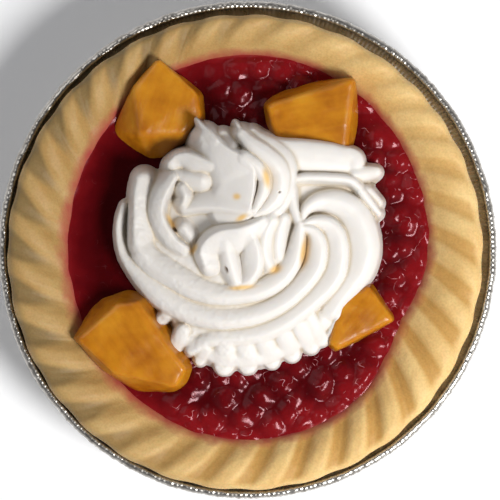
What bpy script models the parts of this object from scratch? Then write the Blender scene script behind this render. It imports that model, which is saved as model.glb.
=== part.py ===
"""A small open cherry pie in its foil tin, with peach chunks and a piped whipped cream swirl.

The tin stands on z = 0 and its axis is the world Z axis. Sizes below are in millimetres;
MM turns them into Blender's metres where vertices are made.
"""

import math

import bmesh
import bpy
from mathutils import Vector, noise

MM = 0.001
GAP = 0.3  # clearance that touching pieces keep
TAU = math.tau

# Foil tin
TIN_DEPTH = 25.0
TIN_BASE_RADIUS = 43.5
TIN_MOUTH_RADIUS = 56.0
TIN_CORNER = 1.6
TIN_WALL = 0.4
TIN_BEAD = 1.1
TIN_OUTER_RADIUS = 63.35
TIN_STEPS = 72

# Crust: a shell in the tin, with a broad rim pressed into slanted flutes
FLUTES = 33
STEPS_PER_FLUTE = 6
FLUTE_SLANT = math.radians(9)
FLUTE_DEPTH = 2.2
RIM_EDGE_RADIUS = 59.9
RIM_INNER_RADIUS = 48.0
OPENING_STRETCH = 1.4  # the opening is longer from front to back than from side to side
RIM_OFFSET = 0.9  # the rim sits this far off the tin's centre
RIM_OFFSET_ANGLE = math.radians(225)
RIM_SCALLOP = 0.35
CRUST_FLOOR = 5.0
CRUST_FLOOR_RADIUS = 38.5
CRUST_SLOPE_RADIUS = 45.7  # the crust's inner face, at this height
CRUST_SLOPE_HEIGHT = 21.5
WALL_CLEARANCE = 0.4  # between the crust and the tin's sloping wall at its mouth

# The rim's section as rows: share of the way inward, height, share of the flutes' depth, scallop
RIM_ROWS = [
    (0.045, TIN_DEPTH + GAP, 0.0, RIM_SCALLOP),
    (0.005, 27.2, 0.25, RIM_SCALLOP),
    (0.04, 29.3, 0.6, RIM_SCALLOP),
    (0.17, 31.0, 1.0, 0.0),
    (0.40, 31.0, 1.0, 0.0),
    (0.64, 29.7, 1.0, 0.0),
    (0.84, 27.6, 0.75, 0.0),
    (1.0, 25.3, 0.2, 0.0),
]

# Filling
FILLING_LEVEL = 23.6
FILLING_EDGE_RADIUS = 46.5
FILLING_RINGS = 6  # rings of lumpy filling inside the edge
FILLING_RING_STEP = 2.0
FILLING_CENTRE_RADIUS = 25.0  # flat within this, under the cream
LUMP_HEIGHT = 1.5
LUMP_SIZE = 5.5
LUMPS_CLEAR = 4.6  # bare filling between the cream's foot and the first lumps

# Cream: ridges of a star nozzle round one centre
CREAM_FLOOR = 23.95
SWIRL_CENTRE = Vector((-1.9, 2.4))

# Reach of the cream's foot from the swirl's centre, every 15 degrees from +X
FOOT_REACH = [36.2, 36.2, 37.2, 33.8, 29.6, 27.4, 28.0, 27.0, 25.4, 25.2, 31.0, 31.6,
              30.8, 30.2, 28.0, 27.6, 31.2, 32.0, 32.2, 32.4, 32.4, 31.8, 30.8, 33.8]


def clear_scene():
    for obj in list(bpy.data.objects):
        bpy.data.objects.remove(obj)


def new_collection(name):
    collection = bpy.data.collections.new(name)
    bpy.context.scene.collection.children.link(collection)
    return collection


def new_material(name, colour, roughness, metallic=0.0):
    material = bpy.data.materials.new(name)
    material.use_nodes = True
    shader = material.node_tree.nodes["Principled BSDF"]
    shader.inputs["Base Color"].default_value = (*colour, 1.0)
    shader.inputs["Roughness"].default_value = roughness
    shader.inputs["Metallic"].default_value = metallic
    return material


def new_object(name, mesh, collection, material=None):
    obj = bpy.data.objects.new(name, mesh)
    collection.objects.link(obj)
    if material:
        mesh.materials.append(material)
    return obj


def hide_helper(obj):
    obj.hide_render = True
    obj.display_type = "WIRE"


def smoothstep(low, high, value):
    t = min(1.0, max(0.0, (value - low) / (high - low)))
    return t * t * (3 - 2 * t)


def polar(radius, angle, z):
    return Vector((radius * math.cos(angle), radius * math.sin(angle), z))


def bridge(bm, coarse, fine):
    """Joins two closed rings, where one may have a whole number of times the other's points."""
    if len(coarse) > len(fine):
        coarse, fine = fine, coarse
    ratio = len(fine) // len(coarse)
    middle = (ratio + 1) // 2
    for i, left in enumerate(coarse):
        right = coarse[(i + 1) % len(coarse)]
        if ratio == 1:
            bm.faces.new((left, right, fine[(i + 1) % len(fine)], fine[i]))
            continue
        run = [fine[(i * ratio + j) % len(fine)] for j in range(ratio + 1)]
        for j in range(ratio):
            bm.faces.new((left if j < middle else right, run[j + 1], run[j]))
        bm.faces.new((left, right, run[middle]))


def skin_rings(name, rings):
    """A closed mesh through rings of points in millimetres, capped at both ends."""
    bm = bmesh.new()
    rows = [[bm.verts.new(point * MM) for point in ring] for ring in rings]
    for lower, upper in zip(rows, rows[1:]):
        bridge(bm, lower, upper)
    bm.faces.new(rows[0])
    bm.faces.new(rows[-1])
    bmesh.ops.recalc_face_normals(bm, faces=bm.faces)
    mesh = bpy.data.meshes.new(name)
    bm.to_mesh(mesh)
    bm.free()
    return mesh


def evaluated_mesh(obj, name):
    graph = bpy.context.evaluated_depsgraph_get()
    graph.update()
    return bpy.data.meshes.new_from_object(obj.evaluated_get(graph))


def cut(obj, cutter, solver="EXACT"):
    modifier = obj.modifiers.new(f"cut {cutter.name}", "BOOLEAN")
    modifier.operation = "DIFFERENCE"
    modifier.solver = solver
    modifier.object = cutter


# The tin

def tin_profile():
    """Radius and height along the foil's section, from the axis inside to the axis outside."""
    flange = TIN_OUTER_RADIUS - 2 * TIN_BEAD
    inner = [
        (0.0, TIN_WALL),
        (TIN_BASE_RADIUS - TIN_CORNER, TIN_WALL),
        (TIN_BASE_RADIUS, TIN_WALL + TIN_CORNER),
        (TIN_MOUTH_RADIUS, TIN_DEPTH),
        (flange, TIN_DEPTH),
    ]
    bead_centre = TIN_OUTER_RADIUS - TIN_BEAD
    bead_turns = [math.radians(150 - 48 * i) for i in range(7)]
    bead = [
        (bead_centre + TIN_BEAD * math.cos(a), TIN_DEPTH + TIN_BEAD * math.sin(a))
        for a in bead_turns
    ]
    outer = [
        (TIN_MOUTH_RADIUS + TIN_WALL, TIN_DEPTH - TIN_WALL),
        (TIN_BASE_RADIUS + TIN_WALL, TIN_CORNER),
        (TIN_BASE_RADIUS - TIN_CORNER, 0.0),
        (0.0, 0.0),
    ]
    return inner + bead + outer


def make_tin(collection, material):
    mesh = bpy.data.meshes.new("foil_tin")
    bm = bmesh.new()
    points = [bm.verts.new(Vector((r, 0.0, z)) * MM) for r, z in tin_profile()]
    for start, end in zip(points, points[1:]):
        bm.edges.new((start, end))
    bm.to_mesh(mesh)
    bm.free()
    tin = new_object("foil_tin", mesh, collection, material)
    screw = tin.modifiers.new("turn", "SCREW")
    screw.axis = "Z"
    screw.angle = TAU
    screw.steps = TIN_STEPS
    screw.render_steps = TIN_STEPS
    screw.use_merge_vertices = True
    screw.merge_threshold = 0.00001
    return tin


# The crust

def flute_start(turn):
    """Where a flute that is this share of the way round starts: they are unevenly spaced."""
    crowded = math.remainder(turn - math.radians(50), TAU) / math.radians(16)
    wide = math.radians(2.5) * math.cos(turn + math.radians(15))
    return turn + wide - math.radians(2.4) * math.exp(-crowded * crowded)


def flute_strength(angle):
    """The flutes are pressed less deeply on one side."""
    away = math.remainder(angle - math.radians(55), TAU) / math.radians(42)
    return 1.0 - 0.45 * math.exp(-away * away)


def flute_groove(share):
    """Depth of the groove across one flute: 0 on its round crest, 1 in the narrow groove."""
    return 1.0 - abs(math.cos(math.pi * share)) ** 0.7


def rim_edge(angle):
    return RIM_EDGE_RADIUS + RIM_OFFSET * math.cos(angle - RIM_OFFSET_ANGLE)


def opening(angle):
    """How much wider the opening round the filling is in a direction than on average."""
    return 0.6 * math.sin(angle) - OPENING_STRETCH * math.cos(2 * angle)


def rim_ring(inward, height, fluting, scallop):
    """A ring of the rim: inward is 0 at the edge and 1 where the filling begins."""
    ring = []
    count = FLUTES * STEPS_PER_FLUTE
    for j in range(count):
        angle = flute_start(TAU * j / count) + FLUTE_SLANT * min(1.0, inward)
        groove = flute_groove(j / STEPS_PER_FLUTE)
        edge = rim_edge(angle)
        radius = edge + (RIM_INNER_RADIUS + opening(angle) - edge) * inward - scallop * groove
        drop = FLUTE_DEPTH * fluting * flute_strength(angle) * groove
        ring.append(polar(radius, angle, height - drop))
    return ring


def plain_ring(radius, z, count, turn=0.0, follow=0.0):
    """A ring with its points in line with the flutes; follow is its share of the opening's shape."""
    ring = []
    for j in range(count):
        angle = flute_start(TAU * j / count) + turn
        ring.append(polar(radius + follow * opening(angle), angle, z))
    return ring


def make_crust(collection, material):
    coarse = FLUTES * 2
    foot = TIN_WALL + GAP
    rings = [
        plain_ring(TIN_BASE_RADIUS - TIN_CORNER - GAP, foot, coarse),
        plain_ring(TIN_BASE_RADIUS - GAP, foot + TIN_CORNER, coarse),
        plain_ring(TIN_MOUTH_RADIUS - WALL_CLEARANCE, TIN_DEPTH + GAP, coarse),
    ]
    rings += [rim_ring(*row) for row in RIM_ROWS]
    rings += [
        plain_ring(CRUST_SLOPE_RADIUS, CRUST_SLOPE_HEIGHT, coarse, FLUTE_SLANT, 1.0),
        plain_ring(CRUST_FLOOR_RADIUS, CRUST_FLOOR, coarse, FLUTE_SLANT),
    ]
    mesh = skin_rings("pie_crust", rings)
    return new_object("pie_crust", mesh, collection, material)


# The filling

def foot_reach(angle):
    """How far the cream reaches from the swirl's centre in a direction."""
    place = angle / TAU * len(FOOT_REACH)
    before = math.floor(place)
    reach = FOOT_REACH[before % len(FOOT_REACH)]
    following = FOOT_REACH[(before + 1) % len(FOOT_REACH)]
    return reach + (following - reach) * (place - before)


def filling_height(x, y):
    """Fruit lumps rise from the level where no cream covers them, most at the lower right."""
    reach = math.hypot(x, y) - opening(math.atan2(y, x))
    from_cream = Vector((x, y)) - SWIRL_CENTRE
    past_foot = from_cream.length - foot_reach(math.atan2(from_cream.y, from_cream.x))
    bare = smoothstep(LUMPS_CLEAR, LUMPS_CLEAR + 2.0, past_foot)
    edge = 1.0 - smoothstep(FILLING_EDGE_RADIUS - 2.5, FILLING_EDGE_RADIUS, reach)
    side = 0.35 + 0.65 * smoothstep(-25.0, 15.0, 0.8 * x - 0.6 * y)
    place = Vector((x, y, 3.0)) / LUMP_SIZE
    lump = max(0.0, 0.5 - noise.voronoi(place)[0][0])
    return FILLING_LEVEL + LUMP_HEIGHT * 2.0 * lump * bare * edge * side


def make_filling(collection, material):
    fine = FLUTES * 3
    inset = 2 * GAP + WALL_CLEARANCE
    rings = [
        plain_ring(CRUST_FLOOR_RADIUS - inset, CRUST_FLOOR + GAP, FLUTES, FLUTE_SLANT),
        plain_ring(CRUST_SLOPE_RADIUS - inset, CRUST_SLOPE_HEIGHT - GAP, FLUTES, FLUTE_SLANT, 1.0),
        plain_ring(FILLING_EDGE_RADIUS, FILLING_LEVEL, fine, FLUTE_SLANT, 1.0),
    ]
    for i in range(FILLING_RINGS):
        radius = FILLING_EDGE_RADIUS - 1.7 - FILLING_RING_STEP * i
        ring = plain_ring(radius, 0.0, fine, FLUTE_SLANT, 1.0)
        for point in ring:
            point.z = filling_height(point.x, point.y)
        rings.append(ring)
    rings.append(plain_ring(FILLING_CENTRE_RADIUS, FILLING_LEVEL, FLUTES, FLUTE_SLANT))
    mesh = skin_rings("cherry_filling", rings)
    return new_object("cherry_filling", mesh, collection, material)


# The peach chunks

CHUNKS = {
    "peach_chunk_upper_left": {
        "top": [(-22.6, 48.2, 33.2), (-12.5, 39.2, 32.8), (-11.5, 33.5, 32.0), (-16.0, 29.0, 32.2),
                (-27.0, 28.5, 33.2), (-28.5, 41.0, 33.0)],
        "foot": [(-22.6, 48.2, 27.0), (-10.8, 40.0, 20.0), (-10.0, 33.0, 20.0), (-15.5, 26.3, 20.0),
                 (-24.0, 20.8, 20.0), (-29.5, 24.0, 20.0), (-35.1, 29.8, 22.0), (-30.0, 41.5, 23.0)],
    },
    "peach_chunk_upper_right": {
        "top": [(26.8, 43.2, 33.6), (9.5, 38.0, 32.4), (4.6, 36.5, 32.0), (6.0, 31.0, 31.6),
                (8.0, 26.0, 31.2), (25.0, 24.5, 32.2)],
        "foot": [(27.6, 44.0, 26.0), (16.7, 43.2, 21.0), (8.2, 41.6, 20.0), (3.4, 37.4, 20.0),
                 (4.4, 31.0, 20.0), (7.0, 24.0, 20.0), (27.0, 24.0, 20.0), (28.9, 31.0, 20.0)],
    },
    "peach_chunk_lower_left": {
        "top": [(-43.0, -22.4, 32.6), (-33.0, -13.5, 33.0), (-27.5, -13.0, 33.4), (-24.0, -20.5, 33.6),
                (-15.5, -30.0, 32.4), (-18.0, -34.6, 31.6), (-34.0, -31.0, 32.2)],
        "foot": [(-44.9, -22.4, 27.0), (-38.5, -12.2, 21.0), (-30.5, -9.0, 20.0), (-23.5, -10.5, 20.0),
                 (-16.5, -21.0, 20.0), (-13.0, -29.6, 20.0), (-14.6, -34.6, 20.0), (-18.0, -36.8, 20.0),
                 (-27.6, -36.9, 21.0), (-37.6, -30.8, 24.0)],
    },
    "peach_chunk_lower_right": {
        "top": [(36.8, -17.8, 31.6), (30.4, -8.8, 31.4), (23.0, -12.5, 31.6), (20.4, -23.6, 31.0),
                (22.5, -25.4, 30.8)],
        "foot": [(38.3, -17.9, 20.0), (31.9, -7.6, 20.0), (22.0, -10.0, 20.0), (19.2, -24.2, 20.0),
                 (21.9, -26.7, 20.0), (32.0, -21.6, 20.0)],
    },
}
CHUNK_ROUNDING = 1.1
SOCKET_GAP = 0.5

# What the chunks must clear as radius and height: the crust's rim, taken over its crests
RIM_BED = [(43.6, 15.4), (45.3, 21.9), (47.0, 24.3), (47.8, 25.9), (49.9, 28.1), (52.2, 30.2),
           (55.1, 31.5), (62.0, 31.5), (62.0, 15.4)]


def hull_mesh(name, points):
    bm = bmesh.new()
    for point in points:
        bm.verts.new(Vector(point) * MM)
    hull = bmesh.ops.convex_hull(bm, input=bm.verts)
    inside = hull["geom_interior"] + hull["geom_unused"]
    spare = {element for element in inside if isinstance(element, bmesh.types.BMVert)}
    bmesh.ops.delete(bm, geom=list(spare), context="VERTS")
    bmesh.ops.recalc_face_normals(bm, faces=bm.faces)
    mesh = bpy.data.meshes.new(name)
    bm.to_mesh(mesh)
    bm.free()
    return mesh


def round_edges(obj, width, segments):
    bevel = obj.modifiers.new("rounded edges", "BEVEL")
    bevel.width = width * MM
    bevel.segments = segments
    bevel.limit_method = "ANGLE"
    bevel.angle_limit = math.radians(24)


def swollen(mesh, amount):
    """The mesh with every point moved outwards, as a cutter that leaves a gap."""
    bigger = mesh.copy()
    for vertex, source in zip(bigger.vertices, mesh.vertices):
        vertex.co = source.co + source.normal * amount * MM
    return bigger


def make_rim_bed(cutters):
    """A ring in the crust's place, with a clearance, that trims the chunks' outer undersides."""
    bm = bmesh.new()
    rings = []
    for radius, height in RIM_BED:
        points = plain_ring(radius, height, FLUTES * 2, 0.0, 1.0)
        rings.append([bm.verts.new(point * MM) for point in points])
    for ring, following in zip(rings, rings[1:] + rings[:1]):
        bridge(bm, ring, following)
    bmesh.ops.recalc_face_normals(bm, faces=bm.faces)
    mesh = bpy.data.meshes.new("rim_bed")
    bm.to_mesh(mesh)
    bm.free()
    bed = new_object("rim_bed", mesh, cutters)
    hide_helper(bed)
    return bed


def make_chunks(collection, cutters, material):
    """The four chunks, and for each a swollen copy that cuts its socket."""
    bed = make_rim_bed(cutters)
    sockets = []
    for name, outline in CHUNKS.items():
        mesh = hull_mesh(name, outline["top"] + outline["foot"])
        chunk = new_object(name, mesh, collection, material)
        round_edges(chunk, CHUNK_ROUNDING, 2)
        swollen_mesh = swollen(evaluated_mesh(chunk, name), SOCKET_GAP)
        socket = new_object(f"{name}_socket", swollen_mesh, cutters)
        hide_helper(socket)
        sockets.append(socket)
        cut(chunk, bed)
    return sockets


# The cream

RIDGE_SECTION = [(-1.0, -0.95), (-0.72, -0.34), (0.0, 0.0), (0.72, -0.34), (1.0, -0.95)]
RIDGE_RELIEF = 2.7  # wider ridges than this are flatter than round

# Ridges left by the nozzle: x, y, crest height and half width along each
SWIRL = {
    "ring_0": [(12.3, 7.4, 38.0, 1.5), (10.7, 1.6, 37.8, 2.5), (8.1, -8.6, 37.0, 2.6),
               (1.0, -11.5, 36.6, 2.6), (-8.8, -10.1, 36.0, 2.7), (-17.4, -5.5, 35.4, 3.0),
               (-22.0, -2.6, 33.4, 2.8)],
    "ring_1": [(13.3, 5.8, 37.8, 1.2), (17.2, 3.3, 37.4, 2.6), (16.8, -5.0, 37.0, 3.0),
               (7.7, -13.8, 36.2, 2.7), (-4.6, -15.5, 35.5, 2.7), (-17.0, -10.9, 34.8, 3.2),
               (-26.4, -2.6, 34.9, 3.5), (-28.2, 6.6, 35.6, 3.1), (-27.2, 16.4, 34.8, 2.9),
               (-26.2, 19.2, 32.2, 1.9)],
    "ring_2": [(14.1, 6.9, 37.6, 1.2), (20.4, 6.6, 36.8, 2.6), (23.5, -0.1, 36.2, 3.3),
               (18.5, -10.5, 35.8, 3.1), (6.0, -18.0, 34.8, 2.7), (-7.4, -18.6, 34.0, 2.9),
               (-22.0, -13.5, 33.0, 3.4), (-31.0, -3.8, 32.2, 3.0), (-32.6, 5.2, 31.8, 2.3),
               (-31.2, 11.4, 30.6, 2.0)],
    "ring_3": [(13.2, 7.4, 37.0, 1.0), (16.2, 11.3, 36.2, 2.3), (24.4, 11.0, 35.4, 3.0),
               (29.2, 3.7, 34.6, 3.8), (28.2, -4.7, 33.8, 3.8), (20.6, -16.6, 32.6, 2.9),
               (6.0, -21.9, 32.0, 2.3), (-7.4, -24.5, 31.2, 1.9), (-14.6, -27.4, 29.8, 1.5)],
    "ring_4": [(13.1, 7.9, 36.4, 0.9), (15.4, 12.9, 35.6, 2.1), (22.4, 14.4, 34.4, 2.8),
               (29.4, 10.6, 33.0, 3.5), (32.8, 3.4, 31.6, 3.6), (29.6, -6.8, 30.2, 2.6)],
}
FOLDS = {
    "wing_high": [(6.0, 22.6, 37.2, 3.2), (14.5, 21.6, 36.2, 4.4), (23.0, 21.0, 34.8, 4.6),
                  (28.0, 19.6, 33.4, 3.8)],
    "wing_low": [(0.2, 30.0, 33.6, 2.6), (8.0, 25.6, 34.8, 4.6), (17.0, 24.0, 34.4, 4.8),
                 (25.0, 22.8, 33.2, 4.0)],
    "wing_lip": [(11.2, 18.0, 38.0, 1.2), (19.5, 18.4, 37.0, 1.7), (27.0, 16.4, 35.4, 1.8),
                 (32.4, 9.6, 32.6, 1.6)],
    "spoke": [(10.3, 18.9, 38.6, 1.1), (11.1, 13.6, 38.6, 1.4), (12.4, 7.4, 38.0, 1.3)],
    "fold_right": [(-1.9, 30.7, 37.6, 1.4), (2.4, 24.4, 40.0, 2.8), (8.4, 18.0, 40.0, 3.5),
                   (6.8, 11.6, 39.4, 2.8), (2.9, 9.1, 39.0, 1.4)],
    "fold_middle": [(-12.3, 32.1, 39.4, 0.9), (-7.2, 27.4, 42.4, 2.4), (-1.0, 22.6, 43.8, 3.0),
                    (3.9, 18.0, 42.8, 2.6), (1.4, 9.1, 40.4, 1.0)],
    "fold_left": [(-3.8, 23.0, 44.6, 2.6), (-0.4, 17.6, 44.2, 1.9), (0.8, 9.3, 41.0, 0.8)],
    "fin_top": [(-3.5, 33.2, 38.6, 0.8), (-3.0, 28.8, 41.4, 2.3), (-3.1, 24.3, 44.0, 3.2)],
    "lobe_top": [(-7.1, 30.6, 34.6, 2.0), (-6.5, 25.4, 42.0, 2.8)],
    "mound": [(-10.2, 26.0, 42.0, 2.8), (-6.6, 21.0, 45.6, 4.0), (-5.2, 14.4, 44.4, 4.0)],
    "fin_left": [(-19.6, 22.4, 37.4, 1.8), (-14.6, 22.8, 39.6, 2.5), (-9.3, 21.2, 43.0, 3.4)],
    "fin_left_low": [(-18.8, 19.8, 36.2, 1.0), (-13.9, 17.8, 39.8, 3.0), (-8.5, 16.0, 43.4, 4.0)],
    "shelf": [(-16.7, 6.4, 36.6, 1.4), (-9.8, 9.2, 40.6, 3.4), (-0.4, 8.2, 40.8, 2.4)],
    "curl_left": [(-18.8, 17.9, 37.8, 1.4), (-21.1, 10.6, 38.4, 2.2), (-20.6, 6.0, 37.8, 1.9),
                  (-16.1, 1.5, 36.4, 1.1)],
    "bump": [(-16.8, 5.6, 37.6, 1.6), (-14.3, 3.4, 37.4, 1.7)],
    "blob": [(-6.6, -4.8, 39.0, 1.9), (-9.6, -2.6, 40.6, 2.9), (-8.2, 1.0, 41.4, 3.4),
             (-3.0, 4.0, 41.6, 3.4), (2.0, 6.8, 40.8, 1.8)],
    "tail_left": [(-1.7, -7.9, 37.4, 1.4), (-2.4, -3.2, 39.2, 2.1), (-1.6, 1.4, 40.2, 1.8)],
    "tail_right": [(3.0, -7.7, 37.2, 1.3), (4.0, -2.2, 38.8, 1.9), (2.8, 7.0, 40.2, 1.6)],
}

# Teeth at the cream's foot: direction in degrees, reach from the swirl's centre, half width
TEETH = [(36, 38.4, 2.6), (27, 39.6, 2.4), (16, 37.4, 2.2), (-41, 32.4, 2.0), (-57, 34.2, 2.7),
         (-66, 33.7, 2.5), (-76, 33.5, 2.7), (-88, 33.2, 3.1), (-98, 33.7, 3.1), (-108, 33.0, 2.0),
         (-122, 33.0, 2.9), (-134, 29.6, 2.6)]

# A tooth's section along its direction: distance back from its reach, and height
TOOTH_SLOPE = [(11.0, 33.0), (5.6, 31.6), (2.0, 29.6), (0.2, 26.6)]

# The plain mass under the ridges: share of the foot's reach, and height
FOOT_STEPS = [(0.90, 21.0), (0.98, 25.0), (0.97, 27.4), (0.87, 30.0), (0.66, 32.8), (0.30, 34.4)]

# The mass under the top folds: centre, radius and height
MOUND_STEPS = [(-4.0, 12.5, 15.5, 28.0), (-4.4, 14.0, 13.0, 36.0), (-4.6, 16.5, 9.0, 41.0),
               (-4.4, 18.0, 4.0, 43.4)]
MOUND_SIDES = 16

STROKE_FLOOR = 23.0  # strokes and teeth reach down to these heights, inside the mass
TOOTH_FLOOR = 22.0
BED_SIZE = 100.0  # the cutter that levels the cream's underside
BED_DEPTH = 20.0


def spline(points, steps):
    """Catmull-Rom through control points of any length, with steps pieces between each two."""
    padded = [points[0], *points, points[-1]]
    found = []
    for before, start, end, after in zip(padded, padded[1:], padded[2:], padded[3:]):
        for i in range(steps):
            t = i / steps
            found.append([
                0.5 * (2 * b + (c - a) * t + (2 * a - 5 * b + 4 * c - d) * t * t
                       + (3 * b - a - 3 * c + d) * t ** 3)
                for a, b, c, d in zip(before, start, end, after)
            ])
    found.append(list(points[-1]))
    return found


def ridge_mesh(name, path, floor):
    """A ridge of cream with a rounded crest, its ends upright and its foot at the floor."""
    rings = []
    for i, (x, y, z, width) in enumerate(path):
        ahead = path[min(i + 1, len(path) - 1)]
        behind = path[max(i - 1, 0)]
        along = Vector((ahead[0] - behind[0], ahead[1] - behind[1])).normalized()
        side = Vector((-along.y, along.x, 0.0)) * width
        relief = min(width, RIDGE_RELIEF)
        ring = [Vector((x, y, z + drop * relief)) + side * u for u, drop in RIDGE_SECTION]
        ring.append(Vector((x, y, floor)) + side)
        ring.append(Vector((x, y, floor)) - side)
        rings.append(ring)
    return skin_rings(name, rings)


def tooth_mesh(degrees, reach, width):
    angle = math.radians(degrees)
    path = []
    for back, height in TOOTH_SLOPE:
        centre = SWIRL_CENTRE + Vector((math.cos(angle), math.sin(angle))) * (reach - back)
        path.append((centre.x, centre.y, height, width))
    return ridge_mesh("tooth", path, TOOTH_FLOOR)


def foot_mesh():
    """The plain mass under the ridges, narrowing upwards from the cream's uneven foot."""
    rings = []
    for share, z in FOOT_STEPS:
        ring = []
        for i, reach in enumerate(FOOT_REACH):
            point = polar(reach * share, TAU * i / len(FOOT_REACH), z)
            ring.append(point + Vector((*SWIRL_CENTRE, 0.0)))
        rings.append(ring)
    return skin_rings("cream_foot", rings)


def mound_mesh():
    """The plain mass under the top folds."""
    rings = []
    for x, y, radius, z in MOUND_STEPS:
        centre = Vector((x, y, 0.0))
        rings.append([centre + polar(radius, TAU * j / MOUND_SIDES, z) for j in range(MOUND_SIDES)])
    return skin_rings("cream_mound", rings)


def make_bed(cutters):
    """A block under the cream whose top face is the cream's underside."""
    middle = CREAM_FLOOR - BED_DEPTH / 2
    bpy.ops.mesh.primitive_cube_add(size=1.0, location=(0.0, 0.0, middle * MM))
    bed = bpy.context.active_object
    bed.name = "cream_bed"
    bed.dimensions = (BED_SIZE * MM, BED_SIZE * MM, BED_DEPTH * MM)
    for holder in list(bed.users_collection):
        holder.objects.unlink(bed)
    cutters.objects.link(bed)
    hide_helper(bed)
    return bed


def make_cream(collection, cutters, material, sockets):
    """One solid: the body and all ridges joined, cut flat below and clear of the chunks."""
    strokes = new_collection("cream_strokes")
    meshes = [mound_mesh()]
    for name, points in {**SWIRL, **FOLDS}.items():
        meshes.append(ridge_mesh(name, spline(points, 2), STROKE_FLOOR))
    meshes += [tooth_mesh(*tooth) for tooth in TEETH]
    for mesh in meshes:
        new_object(mesh.name, mesh, strokes)
    cream = new_object("whipped_cream", foot_mesh(), collection, material)
    union = cream.modifiers.new("join strokes", "BOOLEAN")
    union.operation = "UNION"
    union.solver = "MANIFOLD"
    union.operand_type = "COLLECTION"
    union.collection = strokes
    joined = evaluated_mesh(cream, "whipped_cream")
    cream.modifiers.remove(union)
    cream.data = joined
    for stroke in list(strokes.objects):
        bpy.data.objects.remove(stroke)
    bpy.data.collections.remove(strokes)
    for cutter in [make_bed(cutters), *sockets]:
        cut(cream, cutter, "MANIFOLD")
    return cream


def main():
    clear_scene()
    pie = new_collection("cherry_pie")
    cutters = new_collection("cutters")
    foil = new_material("foil", (0.82, 0.81, 0.80), 0.28, 1.0)
    pastry = new_material("pastry", (0.78, 0.56, 0.28), 0.75)
    jam = new_material("cherry_jam", (0.22, 0.008, 0.014), 0.12)
    peach = new_material("peach", (0.72, 0.34, 0.03), 0.3)
    whipped = new_material("whipped_cream", (0.93, 0.91, 0.86), 0.5)
    make_tin(pie, foil)
    make_crust(pie, pastry)
    filling = make_filling(pie, jam)
    sockets = make_chunks(pie, cutters, peach)
    for socket in sockets:
        cut(filling, socket)
    make_cream(pie, cutters, whipped, sockets)


main()
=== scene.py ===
"""The looks of a small open cherry pie in its foil tin, with peach chunks and whipped cream.

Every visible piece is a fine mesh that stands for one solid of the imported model. Sizes are in
millimetres, and MM turns them into metres where vertices are made.
"""

import math

import bpy
import numpy as np
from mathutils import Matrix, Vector


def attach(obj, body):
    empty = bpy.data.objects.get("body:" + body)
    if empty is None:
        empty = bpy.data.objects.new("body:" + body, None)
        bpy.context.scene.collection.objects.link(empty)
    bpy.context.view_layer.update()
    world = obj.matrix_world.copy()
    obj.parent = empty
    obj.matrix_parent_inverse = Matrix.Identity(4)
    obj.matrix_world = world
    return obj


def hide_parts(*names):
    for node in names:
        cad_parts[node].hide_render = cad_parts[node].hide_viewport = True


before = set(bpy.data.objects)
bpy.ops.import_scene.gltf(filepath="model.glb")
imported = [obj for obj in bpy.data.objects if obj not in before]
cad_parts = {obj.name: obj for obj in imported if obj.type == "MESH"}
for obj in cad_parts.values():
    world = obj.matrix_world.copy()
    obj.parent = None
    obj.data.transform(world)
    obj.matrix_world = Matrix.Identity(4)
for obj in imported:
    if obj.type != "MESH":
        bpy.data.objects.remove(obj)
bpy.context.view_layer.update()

MM = 0.001
TAU = math.tau

# Camera, straight above with the pie filling a square picture; floor and sky
VIEW_WIDTH = 126.75  # across the picture at the rim's height
VIEW_CENTRE = (0.585, -0.05)
RIM_HEIGHT = 25.0
CAMERA_DISTANCE = 700.0  # from the rim's height
SENSOR_WIDTH = 36.0
FLOOR_WIDTH = 3000.0
FLOOR_GAP = 0.3  # below the tin
HORIZON_TONE = (0.95, 0.96, 1.0, 1.0)
OVERHEAD_TONE = (0.06, 0.06, 0.065, 1.0)
OVERHEAD_START = 0.9  # the sky has its overhead tone above this sine of the elevation
SKY_STRENGTH = 0.75

# Foil tin
TIN_DEPTH = 25.0
TIN_BASE_RADIUS = 43.5
TIN_MOUTH_RADIUS = 56.0
TIN_CORNER = 1.6
TIN_WALL = 0.4
TIN_BEAD = 1.1  # radius of the rolled rim's section
TIN_OUTER_RADIUS = 63.35
TIN_FLANGE_START = 2.2  # from the mouth to where the flange lies flat
BASE_RING = 14.0  # the underside has a ring of points this far in from the base's radius
WALL_ROWS = 6
BEAD_STEP = 25  # degrees between rows round the rolled rim
BEAD_INSET = 0.2  # the dented rim is drawn in and down by these
BEAD_DROP = 0.3
FOIL_INSET = 0.05  # and the pleated foil is drawn in by this
PLEATS = 165  # round the wall
PLEAT_DEPTH = 0.28
CRIMPS = 330  # round the flange
CRIMP_DEPTH = 0.17
STEPS_PER_CRIMP = 8
BROAD_DENTS = 0.09
FINE_DENTS = 0.13

# Crust
FLUTES = 33
STEPS_PER_FLUTE = 26
FLUTE_SLANT = math.radians(9)
FLUTE_DRIFT = math.radians(2.5)  # flutes are further apart on one half of the rim
FLUTE_DRIFT_ANGLE = math.radians(15)
CROWDING = math.radians(2.4)  # near this direction they lag, so they crowd together before it
CROWDED_ANGLE = math.radians(50)
CROWDED_SPREAD = math.radians(16)
SHALLOWNESS = 0.45  # the share of their depth that flutes lose round this direction
SHALLOW_ANGLE = math.radians(55)
SHALLOW_SPREAD = math.radians(42)
FLUTE_DEPTH = 1.9
FLUTE_LEAN = 0.35  # how much crisper one edge of a flute is
GROOVE_NARROWNESS = 2.2
EVEN_FLUTES = 0.86  # the deepest flute has the full depth, and the mean one this share of it
SHADED_SIDE_ANGLE = math.radians(165)  # the crust is painted darker on this side, as shade on the side away from the key light
RIM_EDGE_RADIUS = 60.2
RIM_INNER_RADIUS = 48.0
OPENING_STRETCH = 1.4  # the opening is longer from front to back than from side to side
OPENING_SHIFT = 0.6  # and lies this far towards the back
OVERHANG = 3.2  # the crust reaches further in over the filling on one side
OVERHANG_ANGLE = math.radians(332)
OVERHANG_SPREAD = math.radians(17)
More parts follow.
